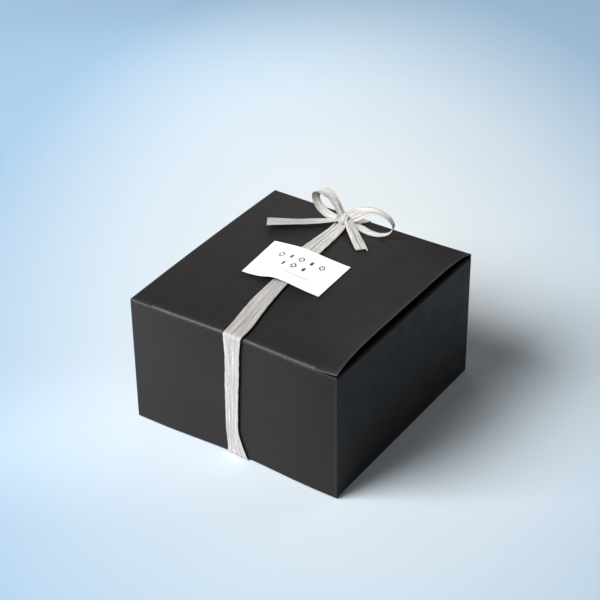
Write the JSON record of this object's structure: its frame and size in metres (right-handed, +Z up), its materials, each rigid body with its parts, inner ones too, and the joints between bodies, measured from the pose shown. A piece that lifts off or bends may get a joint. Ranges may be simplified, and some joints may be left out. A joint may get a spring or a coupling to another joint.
{
  "type": "gift box",
  "caption": "Square tuck-top gift box of folded paperboard with a hinged lid, dust flaps, a flat paper ribbon tied in a bow and a small card.",
  "frame": {"origin": "on the supporting surface, under the middle of the box", "axes": "+Z up; +Y from the tuck side (front) to the hinge side (back); +X to the right seen from the front"},
  "size_m": [0.203, 0.2134, 0.1521],
  "materials": {
    "board": "matte coated black",
    "glue": "dried hot-melt adhesive",
    "ribbon": "pleated paper raffia, slight sheen",
    "card": "smooth matte card"
  },
  "bodies": {
    "base": {"bottom_panel": "board", "front_wall": "board", "back_wall": "board", "left_wall": "board", "right_wall": "board", "front_left_tab": "board", "front_right_tab": "board", "back_left_tab": "board", "back_right_tab": "board", "corner_glue": "glue"},
    "lid": {"lid_panel": "board"},
    "tuck": {"tuck_flap": "board"},
    "dust_left": {"dust_flap_left": "board"},
    "dust_right": {"dust_flap_right": "board"},
    "ribbon_lower": {"ribbon_bottom_run": "ribbon", "ribbon_back_run": "ribbon"},
    "ribbon_upper": {"ribbon_top_run": "ribbon", "ribbon_front_run": "ribbon", "bow_knot": "ribbon", "bow_loop_left": "ribbon", "bow_loop_right": "ribbon", "bow_tail_left": "ribbon", "bow_tail_right": "ribbon"},
    "card": {"greeting_card": "card"}
  },
  "joints": [
    {"name": "lid_hinge", "type": "hinge", "parent": "base", "child": "lid", "pos_m": [0, 0.106, 0.122], "axis": [-1, 0, 0], "range_deg": [0, 120]},
    {"name": "tuck_flap_fold", "type": "hinge", "parent": "lid", "child": "tuck", "pos_m": [0, -0.1039, 0.1209], "axis": [1, 0, 0], "range_deg": [0, 80]},
    {"name": "dust_flap_left_fold", "type": "hinge", "parent": "base", "child": "dust_left", "pos_m": [-0.1015, 0, 0.1204], "axis": [0, -1, 0], "range_deg": [0, 90]},
    {"name": "dust_flap_right_fold", "type": "hinge", "parent": "base", "child": "dust_right", "pos_m": [0.1015, 0, 0.1204], "axis": [0, 1, 0], "range_deg": [0, 90]},
    {"name": "ribbon_slide", "type": "slide", "parent": "base", "child": "ribbon_lower", "axis": [-1, 0, 0], "range_m": [0, 0.125]},
    {"name": "ribbon_back_fold", "type": "hinge", "parent": "ribbon_lower", "child": "ribbon_upper", "pos_m": [0, 0.106, 0.122], "axis": [-1, 0, 0], "range_deg": [0, 120]},
    {"name": "card_lift", "type": "slide", "parent": "ribbon_upper", "child": "card", "axis": [0, 0, 1], "range_m": [0, 0.06]}
  ],
  "couplings": [
    {"joint": "dust_flap_left_fold", "follows": "lid_hinge", "ratio": 0.75},
    {"joint": "dust_flap_right_fold", "follows": "lid_hinge", "ratio": 0.75},
    {"joint": "ribbon_back_fold", "follows": "lid_hinge", "ratio": 1}
  ]
}
